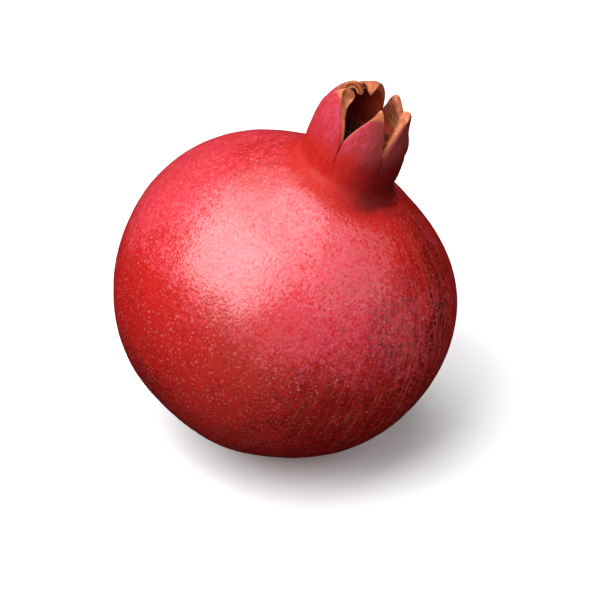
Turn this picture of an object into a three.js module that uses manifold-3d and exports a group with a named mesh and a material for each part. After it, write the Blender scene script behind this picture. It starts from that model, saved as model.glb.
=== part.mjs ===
// A pomegranate, lying with its crown tipped to +X: the fruit with its crown, the dried stamens
// inside the crown, and the woody stub of its stalk. Millimetres, +Z up.
// The origin is the middle of the small flat spot that the fruit rests on.
import * as THREE from 'three';
import { mergeVertices } from 'three/addons/utils/BufferGeometryUtils.js';
import Module from 'manifold-3d';

const { clamp, degToRad, lerp, smoothstep } = THREE.MathUtils;

// Sizes of the fruit, in its own frame: +Z along its axis to the crown, z = 0 at its equator
const equatorRadius = 44;
const poleRadius = 40.5;
const crownLean = degToRad(21.5);
const restDepth = 1.6;

// The hollow round the stalk, at the bottom of the axis
const stalkHollow = { depth: 3, width: 7 };

// The rind is very slightly six-sided, and swells more in some places than in others
const facets = { count: 6, height: 0.45, turn: degToRad(20) };
const swells = [
  { fromCrown: 70, azimuth: 150, height: 0.45 },
  { fromCrown: 85, azimuth: 10, height: 1.9 },
  { fromCrown: 115, azimuth: -20, height: -0.8 },
  { fromCrown: 105, azimuth: 190, height: -0.45 },
  { fromCrown: 45, azimuth: 40, height: -2 },
];
const swellSpread = degToRad(32);

// The neck that carries the crown: the rind turns up into it at the shoulder
const shoulderAngle = degToRad(150);
const neck = { radius: 12.5, base: 42, pullIn: 6, pullUp: 3.5, bandHeight: 8 };
const crownShift = { from: 38, over: 5.5, lean: degToRad(-4.9), aside: 1.35 };

// The crown: six lobes between six splits. Azimuths are degrees from +X towards +Y.
// A lobe's middle line rises from the split's level to its tip, and may curl over past it.
// The tip's near and far edge may hang lower than its middle by the two drops.
const lobes = [
  { name: 'front', from: -117, split: 46, tip: [-79, 8.8, 61.3], bulge: -0.3, lean: 24,
    tipWidth: 0.18, taper: 2.1, tipRound: 0.05, tipWall: 1.5, drop: [0, 0] },
  { name: 'right', from: -63.2, split: 43.9, tip: [-22, 10.5, 60.1], bulge: -0.8, lean: 5,
    tipWidth: 0.2, taper: 1.8, tipRound: 0.05, tipWall: 2.2, drop: [0, 0] },
  { name: 'backRight', from: -0.6, split: 46.9, tip: [29.5, 7.8, 60.6], bulge: 1.1, lean: 19,
    tipWidth: 0.36, taper: 2.1, tipRound: 0.05, tipWall: 1.5, drop: [0, 0] },
  { name: 'back', from: 62, split: 48.5, tip: [90, 6, 62.1], bulge: -0.6, lean: 60,
    tipWidth: 0.64, taper: 1.9, tipRound: 0.08, tipWall: 1.6, drop: [0.5, 1.8], curl: 110 },
  { name: 'backLeft', from: 116, split: 50.1, tip: [140, 6.8, 61.5], bulge: -0.9, lean: 52,
    tipWidth: 0.62, taper: 2, tipRound: 0.08, tipWall: 1.6, drop: [1.6, 0.5], curl: 110 },
  { name: 'left', from: 162, split: 47.1, tip: [195, 7.7, 61.7], bulge: -0.7, lean: 43,
    tipWidth: 0.118, taper: 2.15, tipRound: 0.05, tipWall: 4.2, drop: [0, 0] },
];
const curlRadius = 2.5;
const curlStart = 0.8;
const lowerReach = 0.4;
const upperReach = 0.4;
const wall = { base: 2.1, settled: 0.35 };
const edgeRound = 0.32;
const edgeRoom = 0.8;

// The cup inside the crown: radius and height from its floor up to the level of the splits
const cupFloor = [[0, 40.5], [3, 40.6], [6, 40.9], [8.2, 41.6], [9.5, 43.2]];

// How finely the surface is divided
const columnsPerLobe = 10;
const bodyAngles = [4, 8, 12, 16, 21, 26, 31, 37, 43, 50, 57, 64, 71, 78, 85, 92, 99, 106, 113,
  120, 127, 134, 140, 145, 150];
const shoulderRows = 6;
const neckRows = 2;
const lobeRows = [0.13, 0.24, 0.35, 0.45, 0.55, 0.64, 0.72, 0.8, 0.87, 0.94, 1];
const edgeSteps = 3;

// Draws the same numbers each time, for the stamens
function seededDraw(seed) {
  const modulus = 2147483647;
  const multiplier = 16807;
  let state = seed;
  return () => {
    state = (state * multiplier) % modulus;
    return state / modulus;
  };
}

function cylindrical(radius, azimuth, z) {
  return new THREE.Vector3(radius * Math.cos(azimuth), radius * Math.sin(azimuth), z);
}

function cubic(p0, p1, p2, p3, t) {
  return new THREE.CubicBezierCurve(
    new THREE.Vector2(...p0), new THREE.Vector2(...p1),
    new THREE.Vector2(...p2), new THREE.Vector2(...p3)).getPoint(t);
}

// Outline of the rind
function bodyProfile(angle) {
  const radius = equatorRadius * Math.sin(angle);
  const hollow = stalkHollow.depth * Math.exp(-((radius / stalkHollow.width) ** 2));
  const low = angle < Math.PI / 2 ? hollow : 0;
  return [radius, low - poleRadius * Math.cos(angle)];
}

function shoulderProfile(t) {
  const start = bodyProfile(shoulderAngle);
  const along = new THREE.Vector2(
    equatorRadius * Math.cos(shoulderAngle), poleRadius * Math.sin(shoulderAngle)).normalize();
  const leave = [start[0] + along.x * neck.pullIn, start[1] + along.y * neck.pullIn];
  const arrive = [neck.radius, neck.base - neck.pullUp];
  const point = cubic(start, leave, arrive, [neck.radius, neck.base], t);
  return [point.x, point.y];
}

function swellHeight(direction) {
  let height = 0;
  for (const swell of swells) {
    const fromCrown = degToRad(swell.fromCrown);
    const middle = cylindrical(Math.sin(fromCrown), degToRad(swell.azimuth), Math.cos(fromCrown));
    const nearness = (direction.dot(middle) - 1) / (1 - Math.cos(swellSpread));
    height += swell.height * Math.exp(nearness);
  }
  return height;
}

// A point of the rind or neck, with the facets and swells, which fade out at the neck
function rindPoint([radius, z], azimuth) {
  const point = cylindrical(radius, azimuth, z);
  const direction = point.clone().normalize();
  const sine = Math.hypot(direction.x, direction.y);
  const facet = facets.height * Math.cos(facets.count * (azimuth - facets.turn)) * sine ** 2;
  const fade = clamp((neck.base - z) / neck.bandHeight, 0, 1);
  return point.addScaledVector(direction, (facet + swellHeight(direction)) * fade);
}

// The crown stands a little to one side of the axis, and leans back
function shiftCrown(point) {
  const height = point.z - crownShift.from;
  if (height <= 0) {
    return point;
  }
  const weight = smoothstep(height, 0, crownShift.over);
  const angle = crownShift.lean * weight;
  return new THREE.Vector3(
    point.x * Math.cos(angle) + height * Math.sin(angle) + crownShift.aside * weight,
    point.y,
    crownShift.from + height * Math.cos(angle) - point.x * Math.sin(angle));
}

// Level of the edge between neck and lobes: it rises and falls from one split to the next
function splitHeight(azimuth) {
  const start = degToRad(lobes[0].from);
  const turned = THREE.MathUtils.euclideanModulo(azimuth - start, 2 * Math.PI) + start;
  let index = lobes.length - 1;
  while (index > 0 && turned < degToRad(lobes[index].from)) {
    index -= 1;
  }
  const lobe = lobes[index];
  const next = lobes[(index + 1) % lobes.length];
  const share = (turned - degToRad(lobe.from)) / (lobeEnd(index) - degToRad(lobe.from));
  return lerp(lobe.split, next.split, smoothstep(share, 0, 1));
}

function lobeEnd(index) {
  return index + 1 < lobes.length
    ? degToRad(lobes[index + 1].from)
    : degToRad(lobes[0].from) + 2 * Math.PI;
}

// A lobe's middle line, as radius and height
function lobeLine(lobe, base, v) {
  const [, tipRadius, tipZ] = lobe.tip;
  const lean = degToRad(lobe.lean);
  const end = lobe.curl ? curlStart : 1;
  const rise = tipZ - base;
  const reach = upperReach * (tipZ - lobes[0].split);
  const bezier = cubic(
    [neck.radius, base], [neck.radius + lobe.bulge, base + lowerReach * rise],
    [tipRadius + reach * Math.sin(lean), tipZ - reach * Math.cos(lean)], [tipRadius, tipZ],
    Math.min(v / end, 1));
  if (v <= end) {
    return [bezier.x, bezier.y];
  }
  const turned = degToRad(lobe.curl) * (v - end) / (1 - end);
  return [
    tipRadius - curlRadius * (Math.cos(lean) - Math.cos(lean + turned)),
    tipZ - curlRadius * (Math.sin(lean) - Math.sin(lean + turned))];
}

// How far a lobe has narrowed towards its tip, and the azimuth of its point at u across it.
// Both change together, so that no lobe crosses the line of the split beside it.
function lobeAzimuth(index, u, v) {
  const lobe = lobes[index];
  const from = degToRad(lobe.from);
  const to = lobeEnd(index);
  const middle = (from + to) / 2;
  const narrowed = v ** lobe.taper;
  const centre = lerp(middle, degToRad(lobe.tip[0]), narrowed);
  return centre + (u - 0.5) * (to - from) * lerp(1, lobe.tipWidth, narrowed);
}

// Outer face of a lobe: u runs across it from 0 to 1, v from the neck to the tip
function lobeSheet(index, u, v, along) {
  const baseAzimuth = lerp(degToRad(lobes[index].from), lobeEnd(index), u);
  const [radius, z] = lobeLine(lobes[index], splitHeight(baseAzimuth), along);
  const [nearDrop, farDrop] = lobes[index].drop;
  const drop = (nearDrop * (1 - u) ** 2 + farDrop * u ** 2) * v ** 2;
  return cylindrical(radius, lobeAzimuth(index, u, v), z - drop);
}

// The tip is rounded by ending the sheet earlier towards its two edges
function lobeOuter(index, u, v) {
  return lobeSheet(index, u, v, v - lobes[index].tipRound * (2 * u - 1) ** 2 * v ** 3);
}

function wallAt(index, v) {
  return lerp(wall.base, lobes[index].tipWall, v ** 2);
}

// Inner face: the outer one moved in by the wall, level at the base so that the lobes meet
function lobeInner(index, u, v) {
  const step = 0.01;
  const high = Math.min(v + step, 1);
  const low = Math.max(v - step, 0);
  const across = lobeSheet(index, u + step, v, v).sub(lobeSheet(index, u - step, v, v));
  const along = lobeSheet(index, u, high, high).sub(lobeSheet(index, u, low, low));
  const outward = across.cross(along).normalize();
  const point = lobeOuter(index, u, v);
  const level = new THREE.Vector3(point.x, point.y, 0).normalize();
  const normal = level.lerp(outward, smoothstep(v, 0, wall.settled)).normalize();
  return point.addScaledVector(normal, -wallAt(index, v));
}

// Collects points and faces of one closed surface
class Surface {
  constructor() {
    this.points = [];
    this.faces = [];
  }

  add(point) {
    this.points.push(point);
    return this.points.length - 1;
  }

  triangle(a, b, c) {
    this.faces.push(a, b, c);
  }

  // a to d run round the quad, anticlockwise seen from outside, split on its shorter diagonal
  quad(a, b, c, d) {
    const p = this.points;
    if (p[a].distanceTo(p[c]) <= p[b].distanceTo(p[d])) {
      this.triangle(a, b, c);
      this.triangle(a, c, d);
    } else {
      this.triangle(a, b, d);
      this.triangle(b, c, d);
    }
  }

  // Joins two rings of equally many points, the second one above the first
  band(lower, upper) {
    for (let i = 0; i < lower.length; i += 1) {
      const next = (i + 1) % lower.length;
      this.quad(lower[i], lower[next], upper[next], upper[i]);
    }
  }

  geometry() {
    const geometry = new THREE.BufferGeometry();
    const flat = this.points.flatMap((point) => point.toArray());
    geometry.setAttribute('position', new THREE.Float32BufferAttribute(flat, 3));
    geometry.setIndex(this.faces);
    geometry.computeVertexNormals();
    return geometry;
  }
}

function columnAzimuths() {
  const azimuths = [];
  for (let index = 0; index < lobes.length; index += 1) {
    for (let j = 0; j < columnsPerLobe; j += 1) {
      azimuths.push(lerp(degToRad(lobes[index].from), lobeEnd(index), j / columnsPerLobe));
    }
  }
  return azimuths;
}

// Rings of the rind from the stalk to the shoulder, then up the neck to the splits
function rindRings(surface, azimuths) {
  const profile = bodyAngles.map((angle) => bodyProfile(degToRad(angle)));
  for (let row = 1; row <= shoulderRows; row += 1) {
    profile.push(shoulderProfile(row / shoulderRows));
  }
  const rings = profile.map(
    (pair) => azimuths.map((azimuth) => surface.add(rindPoint(pair, azimuth))));
  for (let row = 1; row <= neckRows; row += 1) {
    rings.push(azimuths.map((azimuth) => {
      const z = lerp(neck.base, splitHeight(azimuth), row / neckRows);
      return surface.add(cylindrical(neck.radius, azimuth, z));
    }));
  }
  return rings;
}

// Rings of the cup from its floor up to the splits
function cupRings(surface, azimuths) {
  const rings = cupFloor.slice(1).map(
    ([radius, z]) => azimuths.map((azimuth) => surface.add(cylindrical(radius, azimuth, z))));
  rings.push(azimuths.map((azimuth) => surface.add(
    cylindrical(neck.radius - wall.base, azimuth, splitHeight(azimuth)))));
  return rings;
}

// Points between the outer and inner edge of a lobe, pushed out sideways to round the edge
function edgeChain(outer, inner, sideways) {
  const chain = [];
  for (let step = 1; step < edgeSteps; step += 1) {
    const share = step / edgeSteps;
    chain.push(outer.clone().lerp(inner, share)
      .addScaledVector(sideways, Math.sin(Math.PI * share)));
  }
  return chain;
}

// One closed loop round a lobe: outer face, far edge, inner face, near edge
function lobeLoop(surface, index, v) {
  const outer = [];
  const inner = [];
  for (let j = 0; j <= columnsPerLobe; j += 1) {
    outer.push(lobeOuter(index, j / columnsPerLobe, v));
    inner.push(lobeInner(index, j / columnsPerLobe, v));
  }
  const last = columnsPerLobe;
  const round = edgeRound * wallAt(index, v);
  const nearRoom = lobeAzimuth(index, 0, v) - degToRad(lobes[index].from);
  const farRoom = lobeEnd(index) - lobeAzimuth(index, 1, v);
  const sideways = (edge, inside, room) => edge.clone().sub(inside)
    .setLength(Math.min(round, edgeRoom * room * Math.hypot(edge.x, edge.y)));
  const far = edgeChain(outer[last], inner[last], sideways(outer[last], outer[last - 1], farRoom));
  const near = edgeChain(outer[0], inner[0], sideways(outer[0], outer[1], nearRoom));
  return {
    outer: outer.map((point) => surface.add(point)),
    far: far.map((point) => surface.add(point)),
    inner: inner.map((point) => surface.add(point)),
    near: near.map((point) => surface.add(point)),
  };
}

function loopOrder(loop) {
  return [...loop.outer, ...loop.far, ...[...loop.inner].reverse(), ...[...loop.near].reverse()];
}

// Closes a lobe's last loop with a ridge a little beyond it
function closeTip(surface, index, loop) {
  const nearTip = 0.97;
  const ridge = loop.outer.map((outerPoint, j) => {
    const u = j / columnsPerLobe;
    const onward = lobeOuter(index, u, 1).sub(lobeOuter(index, u, nearTip)).normalize();
    const middle = surface.points[outerPoint].clone().lerp(surface.points[loop.inner[j]], 0.5);
    return surface.add(middle.addScaledVector(onward, edgeRound * wallAt(index, 1)));
  });
  for (let j = 0; j < columnsPerLobe; j += 1) {
    surface.quad(loop.outer[j], loop.outer[j + 1], ridge[j + 1], ridge[j]);
    surface.quad(ridge[j], ridge[j + 1], loop.inner[j + 1], loop.inner[j]);
  }
  const nearEdge = [loop.outer[0], ...loop.near, loop.inner[0]];
  const farEdge = [loop.outer[columnsPerLobe], ...loop.far, loop.inner[columnsPerLobe]];
  for (let step = 0; step < edgeSteps; step += 1) {
    surface.triangle(nearEdge[step + 1], nearEdge[step], ridge[0]);
    surface.triangle(farEdge[step], farEdge[step + 1], ridge[columnsPerLobe]);
  }
}

function closeDisc(surface, centre, ring, facingUp) {
  ring.forEach((point, i) => {
    const next = ring[(i + 1) % ring.length];
    if (facingUp) {
      surface.triangle(centre, point, next);
    } else {
      surface.triangle(centre, next, point);
    }
  });
}

// The fruit and its crown, one closed surface
function fruitGeometry() {
  const surface = new Surface();
  const azimuths = columnAzimuths();
  const rind = rindRings(surface, azimuths);
  const cup = cupRings(surface, azimuths);
  const rim = rind[rind.length - 1];
  const cupRim = cup[cup.length - 1];

  closeDisc(surface, surface.add(rindPoint(bodyProfile(0), 0)), rind[0], false);
  for (let row = 1; row < rind.length; row += 1) {
    surface.band(rind[row - 1], rind[row]);
  }
  for (let row = 1; row < cup.length; row += 1) {
    surface.band(cup[row], cup[row - 1]);
  }
  closeDisc(surface, surface.add(cylindrical(0, 0, cupFloor[0][1])), cup[0], true);

  const saddles = lobes.map((lobe, index) => {
    const start = index * columnsPerLobe;
    const outer = surface.points[rim[start]];
    const inner = surface.points[cupRim[start]];
    return edgeChain(outer, inner, new THREE.Vector3()).map((point) => surface.add(point));
  });
  lobes.forEach((lobe, index) => {
    const pick = (ring) => Array.from({ length: columnsPerLobe + 1 },
      (_, j) => ring[(index * columnsPerLobe + j) % ring.length]);
    let loop = {
      outer: pick(rim),
      far: saddles[(index + 1) % lobes.length],
      inner: pick(cupRim),
      near: saddles[index],
    };
    for (const v of lobeRows) {
      const next = lobeLoop(surface, index, v);
      surface.band(loopOrder(loop), loopOrder(next));
      loop = next;
    }
    closeTip(surface, index, loop);
  });

  surface.points = surface.points.map(shiftCrown);
  return surface.geometry();
}

// The stamens: many fine threads and one style, standing on a low pad in the cup
const stamens = { count: 70, ringRadius: 7, threadRadius: 0.32, root: 42, shortest: 5, longest: 8.5,
  spread: 0.16, reach: 8.5, seed: 20 };
const style = { tip: [0.6, -0.4, 51.5], radius: 0.8 };
const pad = [[0, 40.85], [3, 40.95], [5.8, 41.25], [7.6, 41.9], [7.4, 42.7], [4, 43.1], [0, 43.2]];
const threadSides = 3;
const threadTaper = 0.7;
const goldenAngle = Math.PI * (3 - Math.sqrt(5));

// The stub of the stalk: radius, and distance below the bottom of its hollow, from the cut end up
const stub = [[0, 3.1], [1.8, 3], [2.2, 2.5], [2, 1.5], [2.3, 0.65], [0, 0.35]];
const roundSides = 24;

const wasm = await Module();
wasm.setup();

function toSolid(geometry) {
  geometry.deleteAttribute('normal');
  geometry.deleteAttribute('uv');
  const merged = mergeVertices(geometry);
  return new wasm.Manifold(new wasm.Mesh({
    numProp: 3,
    vertProperties: merged.attributes.position.array,
    triVerts: new Uint32Array(merged.index.array),
  }));
}

function toGeometry(manifold) {
  const mesh = manifold.getMesh();
  const geometry = new THREE.BufferGeometry();
  geometry.setAttribute('position', new THREE.BufferAttribute(mesh.vertProperties, 3));
  geometry.setIndex(new THREE.BufferAttribute(mesh.triVerts, 1));
  geometry.computeVertexNormals();
  return geometry;
}

function turnedGeometry(outline, sides) {
  const points = outline.map((pair) => new THREE.Vector2(...pair));
  return new THREE.LatheGeometry(points, sides).rotateX(Math.PI / 2);
}

function threadSolid(root, tip, radius) {
  const along = tip.clone().sub(root);
  const length = along.length();
  const geometry = new THREE.CylinderGeometry(radius * threadTaper, radius, length, threadSides);
  const turn = new THREE.Quaternion().setFromUnitVectors(
    new THREE.Vector3(0, 1, 0), along.normalize());
  geometry.translate(0, length / 2, 0).applyQuaternion(turn).translate(root.x, root.y, root.z);
  return toSolid(geometry);
}

function stamensGeometry() {
  const draw = seededDraw(stamens.seed);
  const pieces = [toSolid(turnedGeometry(pad, roundSides))];
  for (let i = 0; i < stamens.count; i += 1) {
    const azimuth = i * goldenAngle;
    const distance = stamens.ringRadius * Math.sqrt((i + 0.5) / stamens.count);
    const length = lerp(stamens.shortest, stamens.longest, draw());
    const outward = clamp(distance + length * stamens.spread * draw(), 0, stamens.reach);
    const turned = azimuth + stamens.spread * (draw() - 0.5);
    pieces.push(threadSolid(
      cylindrical(distance, azimuth, stamens.root),
      cylindrical(outward, turned, stamens.root + length), stamens.threadRadius));
  }
  pieces.push(threadSolid(
    new THREE.Vector3(0, 0, stamens.root), new THREE.Vector3(...style.tip), style.radius));
  const tuft = pieces.reduce((joined, piece) => joined.add(piece));
  const geometry = toGeometry(tuft);
  const places = geometry.attributes.position;
  for (let i = 0; i < places.count; i += 1) {
    places.setXYZ(i, ...shiftCrown(new THREE.Vector3().fromBufferAttribute(places, i)).toArray());
  }
  return geometry;
}

function stubGeometry() {
  const hollowBottom = stalkHollow.depth - poleRadius;
  return turnedGeometry(stub.map(([radius, below]) => [radius, hollowBottom - below]), roundSides);
}

// Stands the fruit with its axis leaning to +X and its lowest skin pressed flat
function place(group, geometry) {
  const places = geometry.attributes.position;
  const point = new THREE.Vector3();
  const height = (i) => point.fromBufferAttribute(places, i).applyEuler(group.rotation).z;
  let lowest = 0;
  for (let i = 0; i < places.count; i += 1) {
    lowest = Math.min(lowest, height(i));
  }
  const floor = lowest + restDepth;
  const up = new THREE.Vector3(0, 0, 1).applyQuaternion(group.quaternion.clone().invert());
  for (let i = 0; i < places.count; i += 1) {
    const below = floor - height(i);
    if (below > 0) {
      point.fromBufferAttribute(places, i).addScaledVector(up, below);
      places.setXYZ(i, point.x, point.y, point.z);
    }
  }
  const sine = Math.sin(crownLean);
  const cosine = Math.cos(crownLean);
  const contact = (equatorRadius ** 2 - poleRadius ** 2) * sine * cosine
    / Math.hypot(equatorRadius * sine, poleRadius * cosine);
  group.position.set(-contact, 0, -floor);
}

function namedMesh(name, geometry, color, roughness) {
  const mesh = new THREE.Mesh(
    geometry, new THREE.MeshStandardMaterial({ color, roughness, metalness: 0 }));
  mesh.name = name;
  return mesh;
}

const fruit = fruitGeometry();
const axisGroup = new THREE.Group();
axisGroup.rotation.y = crownLean;
place(axisGroup, fruit);
axisGroup.add(
  namedMesh('fruit', fruit, 0xa8211f, 0.38),
  namedMesh('stamens', stamensGeometry(), 0x8a6a3c, 0.85),
  namedMesh('stem_stub', stubGeometry(), 0x6b4a2e, 0.9));

const group = new THREE.Group();
group.add(axisGroup);
group.updateMatrixWorld(true);

export default group;
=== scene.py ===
import math

import bmesh
import bpy
import numpy as np
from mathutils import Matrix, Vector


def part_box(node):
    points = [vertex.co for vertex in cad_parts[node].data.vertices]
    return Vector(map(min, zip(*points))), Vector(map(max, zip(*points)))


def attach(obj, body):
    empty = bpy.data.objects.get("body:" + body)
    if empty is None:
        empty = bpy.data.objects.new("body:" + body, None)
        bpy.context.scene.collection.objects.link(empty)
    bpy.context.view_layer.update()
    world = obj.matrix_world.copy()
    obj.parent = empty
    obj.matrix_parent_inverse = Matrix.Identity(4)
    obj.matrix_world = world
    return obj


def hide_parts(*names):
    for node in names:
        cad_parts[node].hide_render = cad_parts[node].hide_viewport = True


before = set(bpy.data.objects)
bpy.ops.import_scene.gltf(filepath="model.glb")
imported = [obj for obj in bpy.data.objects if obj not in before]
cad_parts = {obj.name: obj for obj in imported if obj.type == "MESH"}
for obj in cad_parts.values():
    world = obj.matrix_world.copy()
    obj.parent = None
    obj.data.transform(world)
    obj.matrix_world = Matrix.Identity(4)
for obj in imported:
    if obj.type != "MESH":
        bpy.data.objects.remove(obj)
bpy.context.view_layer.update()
print("frame loaded")

mm = 0.001

# The fruit's form, in millimetres in its own frame: +Z along its axis to the crown
fruitForm = {
    "equatorRadius": 44,
    "poleRadius": 40.5,
    "axisLean": 21.5,  # degrees from upright towards +X
    "restDepth": 1.6,  # how deep the lowest skin is pressed flat
    "hollowDepth": 3,  # round the stalk
    "hollowWidth": 7,
    "facetCount": 6,
    "facetHeight": 0.45,
    "facetTurn": 20,
    "swellSpread": 32,
    "swells": [(70, 150, 0.45), (85, 10, 1.9), (115, -20, -0.8), (105, 190, -0.45), (45, 40, -2)],
    "shoulderAngle": 150,
    "neckRadius": 12.5,
    "neckBase": 42,
    "neckPullIn": 6,
    "neckPullUp": 3.5,
    "fadeHeight": 8,
    "shiftFrom": 38,  # the crown stands to one side of the axis and leans back
    "shiftOver": 5.5,
    "shiftLean": -4.9,
    "shiftAside": 1.35,
    "cupFloor": [(0, 40.5), (3, 40.6), (6, 40.9), (8.2, 41.6), (9.5, 43.2)],
    "wallBase": 2.1,
    "wallSettled": 0.35,
    "edgeRound": 0.32,
    "edgeRoom": 0.8,
    "curlRadius": 2.5,
    "curlStart": 0.8,
    "reach": 0.4,
    "broadSize": 9.0,  # the skin's unevenness, across and in height
    "broadHeight": 0.35,
    "broadLevel": 0.7,
    "fineSize": 1.4,
    "fineHeight": 0.3,
    "fineStretch": 0.25,
    "fineOnBody": 0.1,  # share of the fine unevenness that the body has
}

# Six lobes: where each starts round the crown, the level of the split there, then its tip.
# The tip's near and far edge may hang lower than its middle by the two drops.
crownLobes = [
    {"from": -117, "split": 46, "tip": (-79, 8.8, 61.3), "bulge": -0.3, "lean": 24,
     "tipWidth": 0.18, "taper": 2.1, "curl": 0, "tipRound": 0.05, "tipWall": 1.5,
     "drop": (0, 0), "dryFrom": 0.88},
    {"from": -63.2, "split": 43.9, "tip": (-22, 10.5, 60.1), "bulge": -0.8, "lean": 5,
     "tipWidth": 0.2, "taper": 1.8, "curl": 0, "tipRound": 0.05, "tipWall": 2.2,
     "drop": (0, 0), "dryFrom": 0.95},
    {"from": -0.6, "split": 46.9, "tip": (29.5, 7.8, 60.6), "bulge": 1.1, "lean": 19,
     "tipWidth": 0.36, "taper": 2.1, "curl": 0, "tipRound": 0.05, "tipWall": 1.5,
     "drop": (0, 0), "dryFrom": 0.85},
    {"from": 62, "split": 48.5, "tip": (90, 6, 62.1), "bulge": -0.6, "lean": 60,
     "tipWidth": 0.64, "taper": 1.9, "curl": 110, "tipRound": 0.08, "tipWall": 1.6,
     "drop": (0.5, 1.8), "dryFrom": 0.6},
    {"from": 116, "split": 50.1, "tip": (140, 6.8, 61.5), "bulge": -0.9, "lean": 52,
     "tipWidth": 0.62, "taper": 2, "curl": 110, "tipRound": 0.08, "tipWall": 1.6,
     "drop": (1.6, 0.5), "dryFrom": 0.66},
    {"from": 162, "split": 47.1, "tip": (195, 7.7, 61.7), "bulge": -0.7, "lean": 43,
     "tipWidth": 0.118, "taper": 2.15, "curl": 0, "tipRound": 0.05, "tipWall": 4.2,
     "drop": (0, 0), "dryFrom": 0.88},
]

fruitGrid = {"firstAngle": 1.2, "lobeColumns": 36, "bodyRows": 132, "shoulderRows": 22,
             "neckRows": 9, "lobeRows": 44, "cupRows": 14, "edgeSteps": 8, "ridgeSteps": 4,
             "weldDistance": 0.0005}


def smoothstep(value, low, high):
    share = np.clip((value - low) / (high - low), 0, 1)
    return share * share * (3 - 2 * share)


def cylindrical(radius, azimuth, z):
    parts = np.broadcast_arrays(radius * np.cos(azimuth), radius * np.sin(azimuth), z)
    return np.stack(parts, axis=-1)


def unit(vectors):
    return vectors / np.linalg.norm(vectors, axis=-1, keepdims=True).clip(1e-9)


def cubic(p0, p1, p2, p3, t):
    s = 1 - t
    return s ** 3 * p0 + 3 * s * s * t * p1 + 3 * s * t * t * p2 + t ** 3 * p3


def bodyProfile(angle):
    form = fruitForm
    radius = form["equatorRadius"] * np.sin(angle)
    hollow = form["hollowDepth"] * np.exp(-((radius / form["hollowWidth"]) ** 2))
    low = np.where(angle < math.pi / 2, hollow, 0)
    return radius, low - form["poleRadius"] * np.cos(angle)


# The rind turns up from the shoulder into the neck
def shoulderProfile(t):
    form = fruitForm
    angle = math.radians(form["shoulderAngle"])
    startRadius, startZ = bodyProfile(np.array(angle))
    along = unit(np.array([form["equatorRadius"] * math.cos(angle),
                           form["poleRadius"] * math.sin(angle)])) * form["neckPullIn"]
    endRadius, endZ = form["neckRadius"], form["neckBase"]
    radius = cubic(startRadius, startRadius + along[0], endRadius, endRadius, t)
    z = cubic(startZ, startZ + along[1], endZ - form["neckPullUp"], endZ, t)
    return radius, z


def swellHeight(direction):
    narrow = 1 - math.cos(math.radians(fruitForm["swellSpread"]))
    height = np.zeros(direction.shape[:-1])
    for fromCrown, azimuth, swell in fruitForm["swells"]:
        polar, turn = math.radians(fromCrown), math.radians(azimuth)
        middle = cylindrical(math.sin(polar), turn, math.cos(polar))
        height += swell * np.exp((direction @ middle - 1) / narrow)
    return height


def rindPoint(radius, z, azimuth):
    form = fruitForm
    point = cylindrical(radius, azimuth, z)
    direction = unit(point)
    sine = np.hypot(direction[..., 0], direction[..., 1])
    wave = np.cos(form["facetCount"] * (azimuth - math.radians(form["facetTurn"])))
    facet = form["facetHeight"] * wave * sine ** 2
    fade = np.clip((form["neckBase"] - z) / form["fadeHeight"], 0, 1)
    return point + direction * ((facet + swellHeight(direction)) * fade)[..., None]


def shiftCrown(point):
    form = fruitForm
    height = np.clip(point[..., 2] - form["shiftFrom"], 0, None)
    weight = smoothstep(height, 0, form["shiftOver"])
    angle = math.radians(form["shiftLean"]) * weight
    x, z = point[..., 0], point[..., 2]
    low = np.minimum(z, form["shiftFrom"])
    return np.stack([
        x * np.cos(angle) + height * np.sin(angle) + form["shiftAside"] * weight,
        point[..., 1],
        low + height * np.cos(angle) - x * np.sin(angle)], axis=-1)


def lobeSpan(index):
    start = math.radians(crownLobes[index]["from"])
    if index + 1 < len(crownLobes):
        return start, math.radians(crownLobes[index + 1]["from"])
    return start, math.radians(crownLobes[0]["from"]) + 2 * math.pi


def splitHeight(azimuth):
    start = math.radians(crownLobes[0]["from"])
    turned = np.mod(azimuth - start, 2 * math.pi) + start
    height = np.zeros_like(turned)
    for index, lobe in enumerate(crownLobes):
        low, high = lobeSpan(index)
        share = smoothstep(turned, low, high)
        nextSplit = crownLobes[(index + 1) % len(crownLobes)]["split"]
        level = lobe["split"] + (nextSplit - lobe["split"]) * share
        height = np.where((turned >= low) & (turned <= high), level, height)
    return height


# A lobe's middle line rises from the split's level to its tip, and may curl over past it
def lobeLine(lobe, base, v):
    form = fruitForm
    tipRadius, tipZ = lobe["tip"][1:]
    lean = math.radians(lobe["lean"])
    end = form["curlStart"] if lobe["curl"] else 1
    reach = form["reach"] * (tipZ - crownLobes[0]["split"])
    t = np.clip(v / end, 0, 1)
    radius = cubic(form["neckRadius"], form["neckRadius"] + lobe["bulge"],
                   tipRadius + reach * math.sin(lean), tipRadius, t)
    z = cubic(base, base + form["reach"] * (tipZ - base), tipZ - reach * math.cos(lean), tipZ, t)
    turned = math.radians(lobe["curl"]) * np.clip((v - end) / max(1 - end, 0.01), 0, 1)
    radius = radius - form["curlRadius"] * (math.cos(lean) - np.cos(lean + turned))
    z = z - form["curlRadius"] * (math.sin(lean) - np.sin(lean + turned))
    return radius, z


def lobeAzimuth(index, u, v):
    lobe = crownLobes[index]
    start, end = lobeSpan(index)
    middle = (start + end) / 2
    narrowed = v ** lobe["taper"]
    centre = middle + (math.radians(lobe["tip"][0]) - middle) * narrowed
    return centre + (u - 0.5) * (end - start) * (1 + (lobe["tipWidth"] - 1) * narrowed)


def lobeSheet(index, u, v, along):
    start, end = lobeSpan(index)
    radius, z = lobeLine(crownLobes[index], splitHeight(start + (end - start) * u), along)
    nearDrop, farDrop = crownLobes[index]["drop"]
    drop = (nearDrop * (1 - u) ** 2 + farDrop * u ** 2) * v ** 2
    return cylindrical(radius, lobeAzimuth(index, u, v), z - drop)


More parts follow.
